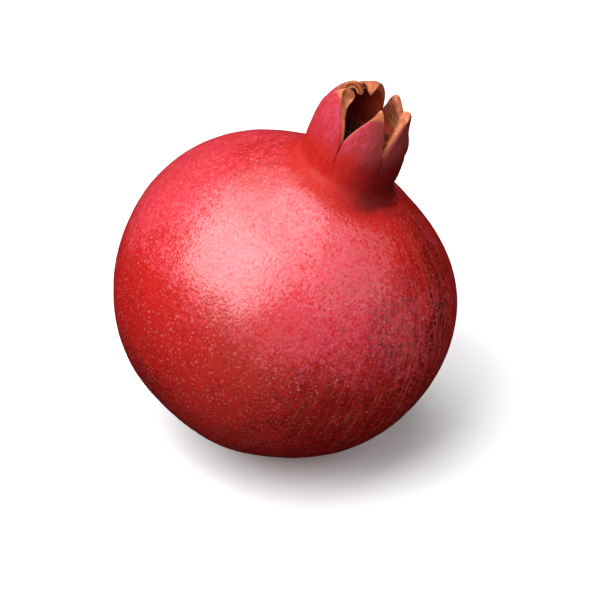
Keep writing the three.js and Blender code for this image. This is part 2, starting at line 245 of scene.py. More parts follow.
def lobeOuter(index, u, v):
    return lobeSheet(index, u, v, v - crownLobes[index]["tipRound"] * (2 * u - 1) ** 2 * v ** 3)


def wallAt(index, v):
    base = fruitForm["wallBase"]
    return base + (crownLobes[index]["tipWall"] - base) * v ** 2


def lobeInner(index, u, v):
    step = 0.01
    high, low = np.minimum(v + step, 1), np.maximum(v - step, 0)
    across = lobeSheet(index, u + step, v, v) - lobeSheet(index, u - step, v, v)
    along = lobeSheet(index, u, high, high) - lobeSheet(index, u, low, low)
    outward = unit(np.cross(across, along))
    point = lobeOuter(index, u, v)
    level = unit(point * (1, 1, 0))
    weight = smoothstep(v, 0, fruitForm["wallSettled"])[..., None]
    return point - unit(level + (outward - level) * weight) * wallAt(index, v)[..., None]


# Gathers grids of points, with what the finish has to know at each point:
# how far up a lobe, whether inside the crown, and how far past where the lobe turns dry
class Skin:
    def __init__(self):
        self.points = []
        self.notes = []
        self.faces = []
        self.count = 0

    def grid(self, points, lobe=0.0, inner=0.0, dry=-1.0, closed=False):
        rows, columns = points.shape[:2]
        index = self.count + np.arange(rows * columns).reshape(rows, columns)
        self.count += rows * columns
        self.points.append(points.reshape(-1, 3))
        notes = np.stack([np.broadcast_to(note, (rows, columns)) for note in (lobe, inner, dry)], -1)
        self.notes.append(notes.reshape(-1, 3))
        if closed:
            index = np.concatenate([index, index[:, :1]], axis=1)
        corners = (index[:-1, :-1], index[:-1, 1:], index[1:, 1:], index[1:, :-1])
        self.faces += np.stack(corners, -1).reshape(-1, 4).tolist()

    def fan(self, centre, ring):
        start = self.count
        self.count += len(ring) + 1
        self.points.append(np.concatenate([[centre], ring]))
        self.notes.append(np.tile([0.0, 0.0, -1.0], (len(ring) + 1, 1)))
        for i in range(len(ring)):
            self.faces.append([start, start + 1 + (i + 1) % len(ring), start + 1 + i])


# Each row of a lobe runs over its outer face, round one edge, back inside and round the other
def lobeLoops(skin, index, columns):
    form, grid = fruitForm, fruitGrid
    rows = np.linspace(0, 1, grid["lobeRows"] + 1)
    v, u = np.broadcast_arrays(rows[:, None], np.linspace(0, 1, columns + 1)[None, :])
    outer, inner = lobeOuter(index, u, v), lobeInner(index, u, v)
    start, end = lobeSpan(index)
    wall = wallAt(index, rows)
    share = (np.arange(1, grid["edgeSteps"]) / grid["edgeSteps"])[None, :, None]

    def edgeChain(column, inside, room):
        edge = outer[:, column]
        sideways = unit(edge - outer[:, inside])
        free = form["edgeRoom"] * room * np.hypot(edge[:, 0], edge[:, 1])
        push = (sideways * np.minimum(form["edgeRound"] * wall, free)[:, None])[:, None, :]
        across = edge[:, None, :] * (1 - share) + inner[:, column][:, None, :] * share
        return across + push * np.sin(math.pi * share)

    far = edgeChain(columns, columns - 1, end - lobeAzimuth(index, 1.0, rows))
    near = edgeChain(0, 1, lobeAzimuth(index, 0.0, rows) - start)
    points = np.concatenate([outer, far, inner[:, ::-1], near[:, ::-1]], axis=1)

    chain = np.broadcast_to(share[..., 0], (len(rows), grid["edgeSteps"] - 1))
    inside = np.concatenate([u * 0, chain, u * 0 + 1, chain[:, ::-1]], axis=1)
    dry = rows[:, None] - crownLobes[index]["dryFrom"]
    skin.grid(points, lobe=rows[:, None], inner=inside, dry=dry, closed=True)

    # the tip is closed by a rounded ridge from the outer to the inner face
    onward = unit(outer[-1] - outer[-2])
    bend = np.linspace(0, math.pi, grid["ridgeSteps"] + 1)[:, None, None]
    middle, half = (outer[-1] + inner[-1]) / 2, (outer[-1] - inner[-1]) / 2
    ridge = middle + half * np.cos(bend) + onward * np.sin(bend) * form["edgeRound"] * wall[-1]
    inside = np.linspace(0, 1, grid["ridgeSteps"] + 1)[:, None]
    skin.grid(ridge, lobe=1.0, inner=inside, dry=1.0)
    for column, chainPoints, turnRound in ((0, near[-1], False), (columns, far[-1], True)):
        rail = np.concatenate([[outer[-1, column]], chainPoints, [inner[-1, column]]])
        picks = np.linspace(0, len(rail) - 1, grid["ridgeSteps"] + 1)
        along = np.stack([np.interp(picks, np.arange(len(rail)), rail[:, k]) for k in range(3)], -1)
        sides = np.stack([ridge[:, column], along])
        skin.grid(sides if turnRound else sides[::-1], lobe=1.0, inner=inside.T, dry=1.0)


# The hollow inside the crown, row by row from the middle out to the foot of the lobes
def cupRows(azimuth):
    form = fruitForm
    floorRadius, floorZ = np.array(form["cupFloor"][1:]).T
    radii = np.append(floorRadius, form["neckRadius"] - form["wallBase"])
    heights = np.stack([np.full(len(azimuth), level) for level in floorZ] + [splitHeight(azimuth)])
    knots = np.linspace(0, 1, len(radii))
    rows = []
    for pick in np.linspace(0, 1, fruitGrid["cupRows"] + 1):
        z = np.array([np.interp(pick, knots, column) for column in heights.T])
        rows.append(cylindrical(np.interp(pick, knots, radii), azimuth, z))
    return np.array(rows)


def fruitSkin():
    form, grid = fruitForm, fruitGrid
    columns = grid["lobeColumns"]
    spans = [lobeSpan(index) for index in range(len(crownLobes))]
    azimuth = np.concatenate([np.linspace(a, b, columns, endpoint=False) for a, b in spans])
    skin = Skin()

    angles = np.linspace(grid["firstAngle"], form["shoulderAngle"], grid["bodyRows"])
    bodyRadius, bodyZ = bodyProfile(np.radians(angles))
    shoulderRadius, shoulderZ = shoulderProfile(np.linspace(0, 1, grid["shoulderRows"] + 1)[1:])
    radius = np.concatenate([bodyRadius, shoulderRadius])[:, None]
    z = np.concatenate([bodyZ, shoulderZ])[:, None]
    body = rindPoint(radius, z, azimuth[None, :])
    rise = np.linspace(0, 1, grid["neckRows"] + 1)[1:, None]
    neckZ = form["neckBase"] + (splitHeight(azimuth)[None, :] - form["neckBase"]) * rise
    neck = cylindrical(form["neckRadius"], azimuth[None, :], neckZ)
    rind = np.concatenate([body, neck])
    skin.grid(rind, closed=True)
    pole = rindPoint(*bodyProfile(np.array(0.0)), np.array(0.0))
    skin.fan(pole, rind[0])

    cup = cupRows(azimuth)
    skin.grid(cup[::-1], inner=1.0, closed=True)
    skin.fan(np.array([0, 0, form["cupFloor"][0][1]]), cup[0][::-1])

    for index in range(len(crownLobes)):
        lobeLoops(skin, index, columns)
    return skin


# Where the fruit stands: its axis leans to +X, and its lowest skin is pressed flat on the floor
def fruitPlacement(points):
    form = fruitForm
    lean = math.radians(form["axisLean"])
    sine, cosine = math.sin(lean), math.cos(lean)
    a, c = form["equatorRadius"], form["poleRadius"]
    contact = (a * a - c * c) * sine * cosine / math.hypot(a * sine, c * cosine)
    turn = np.array([[cosine, 0, sine], [0, 1, 0], [-sine, 0, cosine]])
    lowest = (points @ turn.T)[:, 2].min()
    return turn, np.array([-contact, 0, -lowest - form["restDepth"]])


skin = fruitSkin()
skinPoints = np.concatenate(skin.points)
turnOfFruit, placeOfFruit = fruitPlacement(shiftCrown(skinPoints))
print("fruit centre", placeOfFruit.round(3))


def toWorld(points):
    return (points @ turnOfFruit.T + placeOfFruit) * mm


def newPiece(name, points, faces):
    mesh = bpy.data.meshes.new(name)
    mesh.from_pydata(points.tolist(), [], faces)
    piece = bpy.data.objects.new(name, mesh)
    bpy.context.scene.collection.objects.link(piece)
    return piece


# Merges the grids where they meet, turns faces outwards and smooths the shading
def weld(piece, distance):
    work = bmesh.new()
    work.from_mesh(piece.data)
    bmesh.ops.remove_doubles(work, verts=work.verts, dist=distance)
    bmesh.ops.dissolve_degenerate(work, edges=work.edges, dist=distance)
    bmesh.ops.recalc_face_normals(work, faces=work.faces)
    work.to_mesh(piece.data)
    work.free()
    piece.data.polygons.foreach_set("use_smooth", [True] * len(piece.data.polygons))
    piece.data.update()


# Keeps a vector with each point of a piece, for its geometry nodes and its material
def addLayer(piece, name, values):
    layer = piece.data.attributes.new(name, "FLOAT_VECTOR", "POINT")
    layer.data.foreach_set("vector", values.astype(np.float32).ravel())


def openEdges(piece):
    work = bmesh.new()
    work.from_mesh(piece.data)
    count = sum(1 for edge in work.edges if not edge.is_manifold)
    work.free()
    return count


# One socket, written in sums: each sum adds its node to the tree
class Wire:
    def __init__(self, tree, socket):
        self.tree = tree
        self.socket = socket

    def maths(self, operation, *parts):
        vector = any(isinstance(p, Wire) and p.socket.type == "VECTOR" for p in parts)
        if not vector:
            return self.tree.node("ShaderNodeMath", {"operation": operation}, dict(enumerate(parts)))
        spread = [(p,) * 3 if isinstance(p, (int, float)) else p for p in parts]
        return self.tree.node("ShaderNodeVectorMath", {"operation": operation},
                              dict(enumerate(spread)))

    def __add__(self, other):
        return self.maths("ADD", self, other)

    def __radd__(self, other):
        return self.maths("ADD", other, self)

    def __sub__(self, other):
        return self.maths("SUBTRACT", self, other)

    def __rsub__(self, other):
        return self.maths("SUBTRACT", other, self)

    def __mul__(self, other):
        return self.maths("MULTIPLY", self, other)

    def __rmul__(self, other):
        return self.maths("MULTIPLY", other, self)

    def __truediv__(self, other):
        return self.maths("DIVIDE", self, other)

    def __pow__(self, other):
        return self.maths("POWER", self, other)

    def most(self, other):
        return self.maths("MAXIMUM", self, other)

    def dot(self, other):
        settings = {"operation": "DOT_PRODUCT"}
        return self.tree.node("ShaderNodeVectorMath", settings, {0: self, 1: other}, output=1)

    def part(self, index):
        return self.tree.node("ShaderNodeSeparateXYZ", {}, {0: self}, output=index)

    # 0 below low, 1 above high, and smooth between them, also when low is the greater one
    def between(self, low, high):
        sockets = {"Value": self, "From Min": low, "From Max": high}
        return self.tree.node("ShaderNodeMapRange", {"interpolation_type": "SMOOTHSTEP"}, sockets)


# A node tree that adds any node from its type, its settings and its sockets' values or links
class Tree:
    def __init__(self, nodeTree):
        self.nodeTree = nodeTree

    def node(self, kind, settings, sockets, output=0):
        node = self.nodeTree.nodes.new(kind)
        for name, value in settings.items():
            setattr(node, name, value)
        for name, value in sockets.items():
            if isinstance(value, Wire):
                self.nodeTree.links.new(value.socket, node.inputs[name])
            else:
                node.inputs[name].default_value = value
        return Wire(self, node.outputs[output]) if node.outputs else node

    def attribute(self, name):
        return self.node("ShaderNodeAttribute", {"attribute_name": name}, {}, output="Vector")

    def noise(self, vector, size, detail=3.0, roughness=0.55):
        sockets = {"Vector": vector, "Scale": 1 / size, "Detail": detail, "Roughness": roughness}
        return self.node("ShaderNodeTexNoise", {}, sockets)

    def cells(self, vector, spacing, randomness=1.0, output="Distance"):
        sockets = {"Vector": vector, "Scale": 1 / spacing, "Randomness": randomness}
        return self.node("ShaderNodeTexVoronoi", {}, sockets, output=output)

    def vector(self, x, y, z):
        return self.node("ShaderNodeCombineXYZ", {}, {0: x, 1: y, 2: z})

    def bump(self, strength, distance, height):
        sockets = {"Strength": strength, "Distance": distance * mm, "Height": height}
        return self.node("ShaderNodeBump", {}, sockets)

    def mix(self, factor, first, second):
        fill = [(*c, 1) if isinstance(c, tuple) else c for c in (first, second)]
        sockets = {0: factor, 6: fill[0], 7: fill[1]}
        return self.node("ShaderNodeMix", {"data_type": "RGBA"}, sockets, output=2)


def newMaterial(name):
    material = bpy.data.materials.new(name)
    material.use_nodes = True
    nodes = material.node_tree.nodes
    nodes.remove(nodes["Principled BSDF"])
    return material, Tree(material.node_tree), nodes["Material Output"]


# One shader, or two mixed by a share when the second one differs in the sockets given with it
def shade(material, tree, output, sockets, share=None, changes=None):
    shader = tree.node("ShaderNodeBsdfPrincipled", {}, sockets)
    if share:
        second = tree.node("ShaderNodeBsdfPrincipled", {}, {**sockets, **changes})
        shader = tree.node("ShaderNodeMixShader", {}, {0: share, 1: shader, 2: second})
    tree.nodeTree.links.new(shader.socket, output.inputs["Surface"])
    return material


# A geometry node tree that is given a mesh, a material, and whole and other numbers by name
def newGeometryTree(name, wholes, numbers):
    group = bpy.data.node_groups.new(name, "GeometryNodeTree")
    group.interface.new_socket("Geometry", in_out="OUTPUT", socket_type="NodeSocketGeometry")
    kinds = {"Geometry": "Geometry", "Material": "Material"}
    kinds.update({whole: "Int" for whole in wholes})
    kinds.update({number: "Float" for number in numbers})
    for label, kind in kinds.items():
        group.interface.new_socket(label, in_out="INPUT", socket_type="NodeSocket" + kind)
    tree = Tree(group)
    given = group.nodes.new("NodeGroupInput")
    return tree, {socket.name: Wire(tree, socket) for socket in given.outputs if socket.name}


def closeGeometryTree(tree, geometry, material):
    done = tree.node("GeometryNodeSetMaterial", {}, {"Geometry": geometry, "Material": material})
    tree.node("NodeGroupOutput", {}, {"Geometry": done})
    return tree.nodeTree


# Lifts the skin in and out along its normal by noise: broad on the body, fine on the lobes
def reliefTree():
    form = fruitForm
    tree, value = newGeometryTree(
        "relief", (), ("Broad Size", "Broad Height", "Fine Size", "Fine Height"))
    named = {"data_type": "FLOAT_VECTOR"}
    place = tree.node("GeometryNodeInputNamedAttribute", named, {"Name": "skinPlace"})
    notes = tree.node("GeometryNodeInputNamedAttribute", named, {"Name": "crownNotes"})
    broad = tree.noise(place / value["Broad Size"], 1.0, detail=1.0, roughness=0.5)
    stretched = place * (1.0, 1.0, form["fineStretch"])
    fine = tree.noise(stretched / value["Fine Size"], 1.0, detail=3.0, roughness=0.5)
    onLobe = notes.part(0).between(0.02, 0.3)
    onBody = form["fineOnBody"]
    height = (broad - form["broadLevel"]) * value["Broad Height"] * (1 - onLobe)
    height = height + (fine - 0.5) * value["Fine Height"] * (onBody + (1 - onBody) * onLobe)
    normal = tree.node("GeometryNodeInputNormal", {}, {})
    moved = tree.node("GeometryNodeSetPosition", {},
                      {"Geometry": value["Geometry"], "Offset": normal * height})
    real = tree.node("GeometryNodeRealizeInstances", {}, {"Geometry": moved})
    return closeGeometryTree(tree, real, value["Material"])


# Runs a geometry node tree on a piece and keeps its result as the piece's plain mesh
def applyTree(piece, group, values):
    modifier = piece.modifiers.new(group.name, "NODES")
    modifier.node_group = group
    for item in group.interface.items_tree:
        if item.item_type == "SOCKET" and item.in_out == "INPUT" and item.name in values:
            modifier[item.identifier] = values[item.name]
    piece.update_tag()
    bpy.context.view_layer.update()
    evaluated = piece.evaluated_get(bpy.context.evaluated_depsgraph_get())
    made = bpy.data.meshes.new_from_object(evaluated)
    piece.modifiers.remove(modifier)
    old = piece.data
    piece.data = made
    made.name = piece.name
    bpy.data.meshes.remove(old)


def readPlaces(piece):
    places = np.zeros(len(piece.data.vertices) * 3, np.float32)
    piece.data.vertices.foreach_get("co", places)
    return places.reshape(-1, 3).astype(float)


def writePlaces(piece, places):
    piece.data.vertices.foreach_set("co", places.astype(np.float32).ravel())
    piece.data.update()


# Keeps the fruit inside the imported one's box, with the flat spot that it rests on
def pressFlat(piece):
    low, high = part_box("fruit")
    writePlaces(piece, np.clip(readPlaces(piece), np.array(low), np.array(high)))


rindFinish = {
    "red": (0.43, 0.007, 0.006),
    "vivid": (0.416, 0.008, 0.006),
    "deep": (0.193, 0.004, 0.004),
    "brown": (0.062, 0.003, 0.003),
    "pink": (0.68, 0.05, 0.085),
    # a pale pink that stands for the rind's paler cheek and for a painted highlight
    "blushAndHighlight": (0.662, 0.131, 0.154),
    "scarlet": (0.56, 0.009, 0.007),
    "rose": (0.52, 0.022, 0.045),
    "russet": (0.34, 0.03, 0.02),
    "orange": (0.508, 0.092, 0.031),
    "dot": (0.64, 0.165, 0.145),
    "bloom": (0.17, 0.04, 0.055),
    "speck": (0.046, 0.023, 0.023),
    "magenta": (0.47, 0.038, 0.07),
    "tan": (0.616, 0.2, 0.085),
    "sand": (0.755, 0.308, 0.154),
    "bark": (0.262, 0.054, 0.023),
    # a dark red-brown used for real freckles and, on one side of the crown, as painted shade
    "duskAndShade": (0.24, 0.032, 0.033),
    # the dark inside of the crown, partly painted shade of the hollow; then its reddish brown,
    # partly a painted light on the wall that faces the key lamp
    "cup": (0.12, 0.004, 0.007),
    "reddishWallAndLight": (0.5, 0.07, 0.025),
    "roughness": 0.32,
    "shine": 0.72,
    "dullRoughness": 0.55,
    "dullShine": 0.2,
    "dotSize": (0.18, 0.34),  # least and greatest, as shares of the spacing
    "dotRandomness": 0.9,
    "patchReach": 1.35,
    "patchFade": 0.25,
    "dotSpacing": 1.15,  # lengths in millimetres from here on
    "stippleSpacing": 0.78,
    "pebbleSpacing": 1.5,
    "streakWidth": 1.1,
    "streakLength": 16,
    "bumpHeight": 0.09,
    "bodyTop": (43, 36),  # heights over which the body's finish ends
    "neckFoot": (37, 40),  # over which the neck's begins
    "crownFoot": (46, 53),  # and over which the crown's begins
    "ridgeFoot": (43, 50),
    "dullFoot": (36, 40),
}

# Patches of the rind, as degrees from the crown, azimuth and spread, then colour and strength
rindPatches = [
    (75, 180, 40, "vivid", 0.7),
    (104, -112, 30, "russet", 0.4),
    (77, -142, 10, "scarlet", 0.8),
    (88, -150, 26, "vivid", 0.7),
    (92, -55, 26, "deep", 0.75),
    (57, -68, 19, "rose", 0.6),
    (48, -34, 20, "vivid", 0.6),
    (54, -98, 20, "pink", 0.5),
    (32, -58, 9, "scarlet", 0.7),
    (50, 172, 28, "pink", 0.5),
    # the pale pink patches here lie where the key lamp's highlight falls: partly a paler cheek of
    # the rind, partly a painted highlight
    (48, -126, 18, "blushAndHighlight", 0.5),
    (25, -168, 13, "vivid", 0.8),
    (42, -84, 14, "blushAndHighlight", 0.4),
    (31, -118, 7, "blushAndHighlight", 0.6),
    (125, -145, 12, "brown", 0.4),
    (38, -13, 6, "brown", 0.25),
    (47, -22, 6, "brown", 0.35),
    (57, -29, 6, "brown", 0.6),
    (67, -31, 7, "brown", 0.7),
    (65, -54, 9, "bloom", 0.5),
    (68.9, -60.7, 0.7, "speck", 0.9),
    (69.6, -57.5, 0.8, "speck", 0.5),
    (64.9, -78.2, 0.8, "bloom", 0.6),
    (70.2, -69.4, 0.7, "bloom", 0.6),
    (65.3, -118.8, 1, "orange", 0.8),
]

# The even, dull rind round the foot of the neck, as such a patch
neckCollar = (9, -65, 15)


# How near a direction is to the middle of a patch: 0 outside its ragged edge, 1 well inside
def patchMask(direction, patch, rough):
    fromCrown, azimuth, spread = patch
    polar, turn = math.radians(fromCrown), math.radians(azimuth)
    middle = tuple(cylindrical(math.sin(polar), turn, math.cos(polar)).tolist())
    edge = math.cos(math.radians(spread * rindFinish["patchReach"]))
    near = direction.dot(middle) + rough * (1 - edge)
    return near.between(edge, edge + (1 - edge) * rindFinish["patchFade"])


# What the layers of the rind share: places on it, and noises from broad to fine
class Rind:
    def __init__(self, tree):
        place = tree.attribute("skinPlace")
        self.place = place
        self.direction = tree.node("ShaderNodeVectorMath", {"operation": "NORMALIZE"}, {0: place})
        x, y, self.z = (self.direction.part(k) for k in range(3))
        self.polar = tree.node("ShaderNodeMath", {"operation": "ARCCOSINE"}, {0: self.z})
        around = tree.node("ShaderNodeVectorMath", {"operation": "NORMALIZE"},
                           {0: tree.vector(x, y, 0.0)})
        across = fruitForm["equatorRadius"] / rindFinish["streakWidth"]
        along = fruitForm["equatorRadius"] / rindFinish["streakLength"]
        meridian = tree.vector(around.part(0) * across, around.part(1) * across,
                               self.polar * along)
        self.streak = tree.noise(meridian, size=1.0, detail=3.0, roughness=0.65)
        self.cloud = tree.noise(place, size=22.0, detail=2.0)
        self.blotch = tree.noise(place, size=7.0, detail=4.0, roughness=0.65)
        self.flake = tree.noise(place, size=2.0, detail=4.0, roughness=0.8)
        self.mottle = tree.noise(place, size=1.7, detail=5.0, roughness=0.75)
        self.speckle = tree.noise(place, size=0.8, detail=2.0, roughness=0.7)
        self.grain = tree.noise(place, size=0.5, detail=2.0, roughness=0.6)
        self.fibre = tree.noise(place * (1.0, 1.0, 0.18), size=0.9, detail=3.0)
        self.cleft = tree.noise(place * (1.0, 1.0, 0.4), size=1.2, detail=4.0, roughness=0.7)
        self.rough = ((self.blotch - 0.5) * 2.0 + (self.mottle - 0.5) * 2.0
                      + (self.speckle - 0.5) * 3.2)
        self.side = place.part(0) + (self.cleft - 0.5) * 6.0
        self.onBody = place.part(2).between(*rindFinish["bodyTop"])


# One dot in the middle of each cell; size and strength differ from cell to cell
def rindDots(tree, rind, colour, spacing, strength):
    least, most = rindFinish["dotSize"]
    randomness = rindFinish["dotRandomness"]
    cell = tree.cells(rind.place, spacing, randomness)
    chance = tree.cells(rind.place, spacing, randomness, output="Color")
    draws = [tree.node("ShaderNodeSeparateColor", {}, {0: chance}, output=k) for k in range(2)]
    size = draws[0] * (most - least) + least
    dot = (cell / size).between(1.3, 0.5) * (draws[1] * 1.1 - 0.1).most(0.0)
    return tree.mix(dot * strength * rind.onBody, colour, rindFinish["dot"])


def bodyColour(tree, rind):
    finish = rindFinish
    colour = tree.mix(rind.blotch.between(0.42, 0.64) * 0.4, finish["red"], finish["deep"])
    for *patch, name, strength in rindPatches:
        mask = patchMask(rind.direction, patch, rind.rough)
        colour = tree.mix(mask * strength, colour, finish[name])

    # streaks from the crown to the stalk, mostly on one side
    shadeSide = rind.direction.dot((0.75, -0.35, 0.2)) + (rind.blotch - 0.5) * 0.6
    darkStreak = rind.streak.between(0.5, 0.38) * shadeSide.between(0.5, 0.9) * rind.onBody
    colour = tree.mix(darkStreak * 0.55, colour, finish["brown"])
    warmStreak = rind.streak.between(0.51, 0.6) * shadeSide.between(0.2, 0.8) * rind.onBody
    colour = tree.mix(warmStreak * 0.38, colour, finish["orange"])

    # pink flakes near the crown, bright red between them, and deep red low down
    flaked = rind.flake.between(0.48, 0.55) * rind.cloud.between(0.36, 0.52) * rind.onBody
    crownward = (rind.z + (rind.blotch - 0.5)).between(0.0, 0.35) * 0.5 + 0.08
    colour = tree.mix(flaked * crownward, colour, finish["pink"])
    bare = rind.speckle.between(0.5, 0.42) * rind.mottle.between(0.55, 0.47) * rind.onBody
    colour = tree.mix(bare * 0.75, colour, finish["scarlet"])
    dark = rind.mottle.between(0.47, 0.36) * rind.blotch.between(0.4, 0.55)
    colour = tree.mix(dark * rind.z.between(0.45, 0.0) * 0.55, colour, finish["deep"])

    # pale dots over a finer stipple
    colour = rindDots(tree, rind, colour, finish["dotSpacing"],
                      rind.cloud.between(0.3, 0.55) * 0.35 + 0.35)
    return rindDots(tree, rind, colour, finish["stippleSpacing"],
                    rind.blotch.between(0.38, 0.58) * 0.35 + 0.4)


# The neck is vivid red, and brown on the side that the crown leans to, away from the key lamp:
# partly the rind's own tone, partly painted shade at the foot of the neck
def neckColour(tree, rind):
    finish = rindFinish
    colour = tree.mix(rind.cleft.between(0.45, 0.62) * 0.15, finish["vivid"], finish["orange"])
    # brown towards +X near the neck: partly its own tone, partly painted shade
    east = rind.place.part(0) + (rind.blotch - 0.5) * 12.0 + (rind.cleft - 0.5) * 10.0
    nearNeck = (rind.polar + (rind.blotch - 0.5) * 0.15).between(0.45, 0.36)
    return tree.mix(east.between(-5.0, 8.0) * nearNeck * 0.85, colour, finish["brown"])


# The outside of the crown is pink with red streaks, freckled dark red-brown, and dark red-brown on
# the +X side away from the key lamp, which is painted shade
def crownColour(tree, rind):
    finish = rindFinish
    colour = tree.mix(rind.cleft.between(0.42, 0.62) * 0.75, finish["magenta"], finish["red"])
    freckles = rind.speckle.between(0.52, 0.4) * rind.cleft.between(0.6, 0.46)
    colour = tree.mix(freckles * 0.6, colour, finish["duskAndShade"])
    # towards +X, away from the key lamp, the crown darkens: painted shade
    colour = tree.mix(rind.side.between(-2.5, 4.5) * 0.9, colour, finish["duskAndShade"])
    warm = rind.cleft.between(0.47, 0.6) * rind.side.between(-6.0, 2.0)
    return tree.mix(warm * 0.35, colour, finish["bark"])


# The lobes dry to tan at their tips and edges, and the back lobes' tan and the dry insides across
# the middle darken to bark as painted shade; inside, the cup is dark, partly as painted shade of the
# hollow, and reddish brown towards +X where its wall faces the key lamp, partly as painted light;
# the inside is dry further up the lobes
def addDryParts(tree, rind, colour):
    finish = rindFinish
    notes = tree.attribute("crownNotes")
    lobe, inner, pastDry = notes.part(0), notes.part(1), notes.part(2)
    ragged = (rind.fibre - 0.5) * 0.3
    tipward = (pastDry + ragged * 0.5).between(-0.04, 0.06)
    edgeward = (inner + ragged).between(0.12, 0.4) * (lobe + ragged).between(0.1, 0.4)
    wrinkle = rind.fibre.between(0.44, 0.58) * 0.6 + rind.mottle.between(0.5, 0.43) * 0.4
    # the tan of the back lobes darkens to bark: a painted shade
    rearShade = rind.place.part(1).between(-1.0, 3.0) * rind.place.part(0).between(8.0, 4.0)
    tan = tree.mix(wrinkle * 0.65 + rearShade * 0.4, finish["tan"], finish["bark"])
    colour = tree.mix(tipward.most(edgeward), colour, tan)

    # the dry insides across the middle of the crown darken to bark as painted shade; the wrinkles
    # add real bark-brown marks
    middleShade = rind.side.between(-4.0, -1.0) * rind.side.between(9.0, 7.0) * 0.6
    dryInside = tree.mix(middleShade + wrinkle * 0.5, finish["sand"], finish["bark"])
    # the hollow is dark, partly its own colour and partly painted shade, and turns reddish brown
    # towards +X, where its wall faces the key lamp: partly a painted light
    inside = tree.mix(rind.side.between(-1.0, 6.0), finish["cup"], finish["reddishWallAndLight"])
    innerDry = (lobe + ragged + rind.side.between(4.0, 9.0) * 0.4).between(0.5, 0.85)
    inside = tree.mix(innerDry, inside, dryInside)
    return tree.mix(inner.between(0.6, 0.95), colour, inside)


# Rounded pebbles all over the body catch the light one by one; the crown has fine ridges
def rindHeight(tree, rind):
    finish = rindFinish
    pebbles = tree.cells(rind.place, finish["pebbleSpacing"])
    fine = tree.cells(rind.place, finish["stippleSpacing"], finish["dotRandomness"])
    domes = (1 - fine * fine * 1.5) * 0.5 + (1 - pebbles * pebbles * 1.5) * 0.2
    ridges = rind.fibre * rind.place.part(2).between(*finish["ridgeFoot"]) * 1.6
    return (domes + rind.streak * 0.5) * rind.onBody + (rind.grain + rind.mottle) * 0.3 + ridges


def rindMaterial():
    finish = rindFinish
    material, tree, output = newMaterial("pomegranateRind")
    rind = Rind(tree)
    up = rind.place.part(2) + (rind.mottle - 0.5) * 7.0 + (rind.blotch - 0.5) * 6.0
    rays = rind.rough * 0.6 + (rind.streak - 0.5) * 1.2
    collar = patchMask(rind.direction, neckCollar, rays).most(up.between(*finish["neckFoot"]))
    colour = tree.mix(collar * 0.9, bodyColour(tree, rind), neckColour(tree, rind))
    colour = tree.mix(up.between(*finish["crownFoot"]), colour, crownColour(tree, rind))
    colour = addDryParts(tree, rind, colour)
    normal = tree.bump(1.0, finish["bumpHeight"], rindHeight(tree, rind))
    # the body shines, the neck and the crown are dull
    return shade(material, tree, output, {
        "Base Color": colour, "Roughness": finish["roughness"] + (rind.mottle - 0.5) * 0.2,
        "Normal": normal, "Specular IOR Level": finish["shine"]},
        share=collar.most(rind.place.part(2).between(*finish["dullFoot"])),
        changes={"Roughness": finish["dullRoughness"], "Specular IOR Level": finish["dullShine"]})


def buildFruit():
    piece = newPiece("pomegranate_skin", toWorld(shiftCrown(skinPoints)), skin.faces)
    addLayer(piece, "skinPlace", skinPoints)
    addLayer(piece, "crownNotes", np.concatenate(skin.notes))
    weld(piece, fruitGrid["weldDistance"] * mm)
    print("fruit skin", len(piece.data.polygons), "faces, open edges", openEdges(piece))
    form = fruitForm
    applyTree(piece, reliefTree(), {
        "Material": rindMaterial(),
        "Broad Size": form["broadSize"], "Broad Height": form["broadHeight"] * mm,
        "Fine Size": form["fineSize"], "Fine Height": form["fineHeight"] * mm})
    pressFlat(piece)
    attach(piece, "root")
    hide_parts("fruit")


buildFruit()
print("fruit built")

stamenTuft = {
    "count": 110,
    "ringRadius": 7.0,
    "root": 42.0,
    "shortest": 5.0,
    "longest": 8.2,
    "lean": 0.5,  # how far the outer ones lean outwards, in radians
    "bend": 0.132,  # how far a thread's top bends aside, as a share of its length
    "bendFrom": 0.55,
    "waver": 0.12,  # chance turns of a thread, in radians
    "turnWaver": 0.5,
    "threadRadius": 0.16,
    "threadSteps": 7,
    "threadSides": 6,
    "antherSize": 0.42,
    "antherForm": (0.8, 0.6, 1.2),
    "antherSides": 8,
    "antherRings": 6,
    "seed": 20,
    "style": ((0, 0, 42), (0.1, -0.5, 46), (0.6, -0.4, 51.2)),
    "styleRadius": 0.55,
    "styleTaper": 0.25,
    "styleTop": (1.25, 0.3),  # the two uppermost widths, as shares of the radius
    "styleSteps": 13,
    "styleSides": 12,
    "weldDistance": 0.001,
    "pad": [(0, 40.85), (3, 40.95), (5.8, 41.25), (7.6, 41.9), (7.4, 42.7), (4, 43.1), (0, 43.2)],
    "padSides": 48,
    "thread": (0.077, 0.023, 0.012),
    "anther": (0.131, 0.05, 0.022),
    # a dark brown used for specks on the threads and, near their roots, as painted shade
    "darkSpeckAndShade": (0.05, 0.018, 0.01),
}


# A turned shape from its outline, given as radius and height from the bottom up
def turnedShape(outline, sides):
    around = np.linspace(0, 2 * math.pi, sides, endpoint=False)
    points = [cylindrical(radius, around, height) for radius, height in outline]
    faces = []
    for row in range(len(outline) - 1):
        for i in range(sides):
            following = (i + 1) % sides
            faces.append([row * sides + i, row * sides + following,
                          (row + 1) * sides + following, (row + 1) * sides + i])
    return np.concatenate(points), faces


